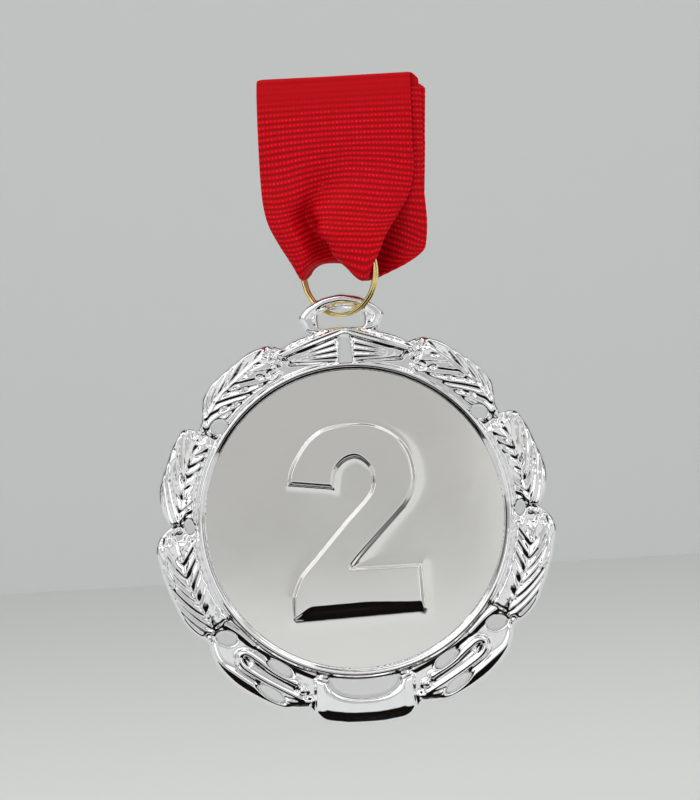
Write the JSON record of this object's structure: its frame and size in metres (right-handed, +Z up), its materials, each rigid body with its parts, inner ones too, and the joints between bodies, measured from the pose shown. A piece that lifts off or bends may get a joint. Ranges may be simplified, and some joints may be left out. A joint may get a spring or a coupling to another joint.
{
  "type": "award medal on a folded ribbon",
  "caption": "Laurel-bordered award medal with a raised numeral 2, hung by a split ring from a folded red neck ribbon.",
  "frame": {"origin": "top of the ribbon fold that the object hangs by, above the ring and in its hinge plane", "axes": "+Z up, +X to the right as the numeral is read, and the medal's face looks along -Y"},
  "size_m": [0.0654, 0.0146, 0.106],
  "materials": {
    "medal_chrome": "polished",
    "disc_satin": "satin",
    "adhesive": "matte",
    "ring_gold": "polished",
    "ribbon_red": "satin",
    "seam_thread": "matte"
  },
  "bodies": {
    "ribbon": {"ribbon_fold": "ribbon_red", "ribbon_seam": "seam_thread"},
    "loop": {"ribbon_loop": "ribbon_red"},
    "ring": {"split_ring": "ring_gold"},
    "medal": {"medal_body": "medal_chrome", "number_disc": "disc_satin", "disc_adhesive": "adhesive"}
  },
  "joints": [
    {"name": "ribbon_bend", "type": "hinge", "parent": "ribbon", "child": "loop", "pos_m": [0, 0, -0.0256], "axis": [1, 0, 0], "range_deg": [-20, 20]},
    {"name": "ring_turn", "type": "hinge", "parent": "loop", "child": "ring", "pos_m": [-0.00015, 0, -0.03205], "axis": [0.5299, 0.848, 0], "range_deg": [-15, 15]},
    {"name": "medal_swing", "type": "hinge", "parent": "ring", "child": "medal", "pos_m": [0, 0, -0.037], "axis": [1, 0, 0], "range_deg": [-20, 20]}
  ]
}
